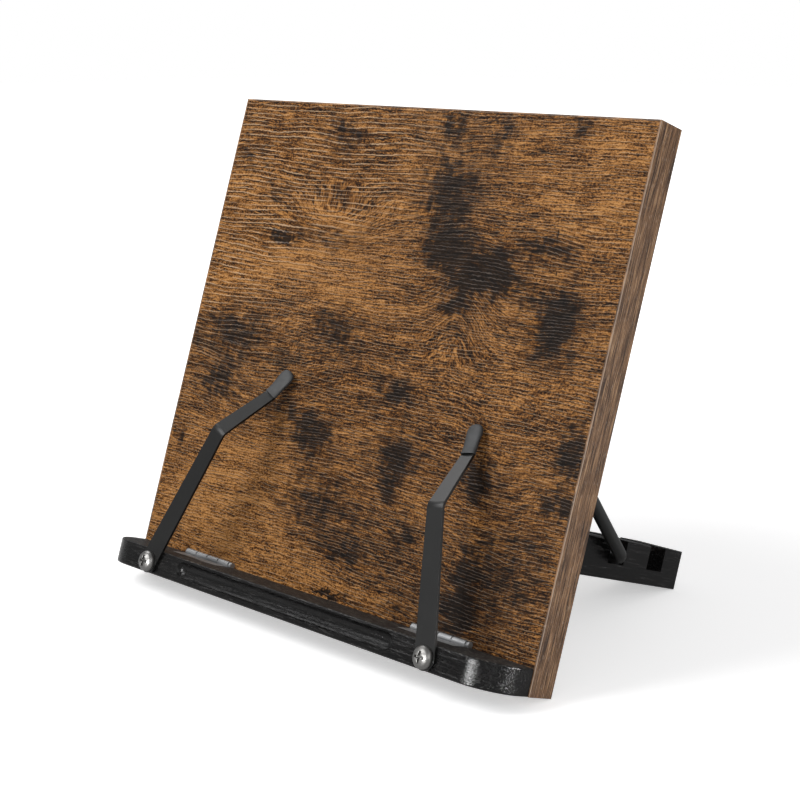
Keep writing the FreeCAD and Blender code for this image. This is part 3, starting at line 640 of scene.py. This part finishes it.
def ring(shape, side, along, half_wide, half_thick, off):
    """A rounded outline round the tip."""
    corners = []
    for step in range(RING_POINTS):
        angle = 2 * math.pi * step / RING_POINTS
        c, s = math.cos(angle), math.sin(angle)
        across = half_wide * math.copysign(abs(c) ** SQUARING, c)
        front = half_thick * math.copysign(abs(s) ** SQUARING, s) + off
        corners.append(shape.verts.new(tip_point(side, across, front, along)))
    return corners


def skin(shape, first, second):
    """Faces between two outlines."""
    for step in range(RING_POINTS):
        after = (step + 1) % RING_POINTS
        shape.faces.new((first[step], first[after], second[after], second[step]))


print("outlines of a cap:", len(OUTER), "outside and", len(INNER), "inside")

# %% [markdown]
# The outer skin runs from the mouth to the closed end, and the inner skin from the mouth a short
# way in, to where the strip fills the sleeve. The cap rides with its clip, and in the scene it
# stands in for the plain cap of the CAD model.

# %% Loft the caps
def add_object(name, shape):
    """Turn a bmesh into an object of the scene."""
    mesh = bpy.data.meshes.new(name)
    shape.to_mesh(mesh)
    shape.free()
    made = bpy.data.objects.new(name, mesh)
    bpy.context.scene.collection.objects.link(made)
    return made


def make_cap(side):
    shape = bmesh.new()
    outer = [ring(shape, side, *station) for station in OUTER]
    inner = [ring(shape, side, *station) for station in INNER]
    for below, above in zip(outer, outer[1:]):
        skin(shape, below, above)
    shape.faces.new(outer[-1])
    skin(shape, inner[0], outer[0])
    for below, above in zip(inner, inner[1:]):
        skin(shape, above, below)
    shape.faces.new(inner[-1][::-1])
    bmesh.ops.recalc_face_normals(shape, faces=shape.faces)
    for face in shape.faces:
        face.smooth = True
    cap = add_object(side + "_soft_cap", shape)
    round_it = cap.modifiers.new("Round", "SUBSURF")
    round_it.levels = 1
    round_it.render_levels = 1
    cap.data.materials.append(soft_vinyl)
    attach(cap, side + "_clip")
    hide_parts(side + "_clip_cap")
    return cap


caps = [make_cap(side) for side in CLIPS]
print("caps:", [cap.name for cap in caps])

# %% [markdown]
# ## Studio
# The floor is a large pale sheet. It glows a little for the camera alone, and less near the
# object, so that it looks like white paper and still holds a soft shadow.

# %% Floor
def make_floor():
    shape = bmesh.new()
    bmesh.ops.create_grid(shape, x_segments=1, y_segments=1, size=6.0)
    floor = add_object("floor", shape)
    f = Finish("pale floor")
    seen = f.node("LightPath", {}, out=0)
    colour = f.blend(seen, (0.80, 0.80, 0.80, 1.0), (0.90, 0.90, 0.90, 1.0))
    across, deep, up = f.split(f.node("TexCoord", {}, out=3))
    away = (across * across + deep * deep).step(0.04, 0.60)
    glow = seen * (away * 0.55 + 0.50)
    f.set(Base_Color=colour, Roughness=0.9, Emission_Color=f.vector(glow, glow, glow))
    f.set(Specular_IOR_Level=0.0, Emission_Strength=1.0)
    floor.data.materials.append(f.material)
    return floor


floor = make_floor()
print("floor:", [round(size, 1) for size in floor.dimensions[:2]], "m")

# %% [markdown]
# A white surround that also lit the object would wash its blacks out. A Light Path node tells the
# two uses apart: what the camera sees is white, and what lights the object is grey.

# %% World
SURROUND, WHITE = (0.41, 0.41, 0.415, 1.0), (1.0, 1.0, 1.0, 1.0)
world = bpy.data.worlds.new("studio")
bpy.context.scene.world = world
world.use_nodes = True
tree = world.node_tree
path = tree.nodes.new("ShaderNodeLightPath")
mix = tree.nodes.new("ShaderNodeMix")
mix.data_type = "RGBA"
mix.inputs[6].default_value = SURROUND
mix.inputs[7].default_value = WHITE
tree.links.new(path.outputs["Is Camera Ray"], mix.inputs[0])
tree.links.new(mix.outputs[2], tree.nodes["Background"].inputs["Color"])
print("world:", world.name)

# %% [markdown]
# A broad soft light stands at the upper left and a weaker one at the right. The other three lamps
# are seen in reflections alone: one overhead, whose sheen lies on the clips' slopes, and two
# strips, for the bright bars on the ledge's round corner. If they lit the wood as well, its
# colours would turn pale.

# %% Lamps
MIDDLE = Vector((0.0, 0.0, 0.1))
CORNER = from_panel(112, -30, 6)
# name, place, target, width, height, power, and whether it also lights what doesn't reflect
LAMPS = [
    ("key", Vector((-0.75, -1.25, 1.35)), MIDDLE, 0.9, 0.9, 22, True),
    ("fill", Vector((1.5, -0.9, 0.9)), MIDDLE, 1.0, 1.0, 8, True),
    ("overhead", Vector((-0.67, 0.09, 0.84)), MIDDLE, 0.45, 0.45, 2.8, False),
    ("strip front", CORNER + Vector((-0.055, -0.70, 0.17)), CORNER, 0.045, 0.30, 8, False),
    ("strip side", CORNER + Vector((0.60, 0.19, 0.07)), CORNER, 0.06, 0.12, 8, False),
]
for name, place, target, wide, high, power, lights in LAMPS:
    data = bpy.data.lights.new(name, "AREA")
    data.shape = "RECTANGLE"
    data.size = wide
    data.size_y = high
    data.energy = power
    lamp = bpy.data.objects.new(name, data)
    bpy.context.scene.collection.objects.link(lamp)
    lamp.location = place
    lamp.rotation_euler = (target - place).to_track_quat("-Z", "Y").to_euler()
    lamp.visible_diffuse = lights
print("lamps:", [lamp[0] for lamp in LAMPS])

# %% [markdown]
# ## Camera
# The camera's place, direction and lens were fitted to the panel's corners in the photograph, so
# that a render can be laid over it.

# %% Camera
TURN, DIP, ROLL = math.radians(44.0692), math.radians(-12.8740), math.radians(0.2501)
PLACE = Vector((0.52990, -0.56161, 0.26402))
SENSOR, PICTURE, FOCAL_PIXELS = 36.0, 800, 1712.1
lens = bpy.data.cameras.new("camera")
lens.sensor_width = SENSOR
lens.lens = FOCAL_PIXELS / PICTURE * SENSOR
lens.shift_x, lens.shift_y = -0.0028, 0.0189
camera = bpy.data.objects.new("camera", lens)
bpy.context.scene.collection.objects.link(camera)
aim = (Matrix.Rotation(TURN, 4, "Z") @ Matrix.Rotation(math.pi / 2 + DIP, 4, "X")
       @ Matrix.Rotation(ROLL, 4, "Z"))
camera.matrix_world = Matrix.Translation(PLACE) @ aim
bpy.context.scene.camera = camera
bpy.context.scene.view_settings.view_transform = "Standard"
print("lens %.1f mm" % lens.lens)

# %% [markdown]
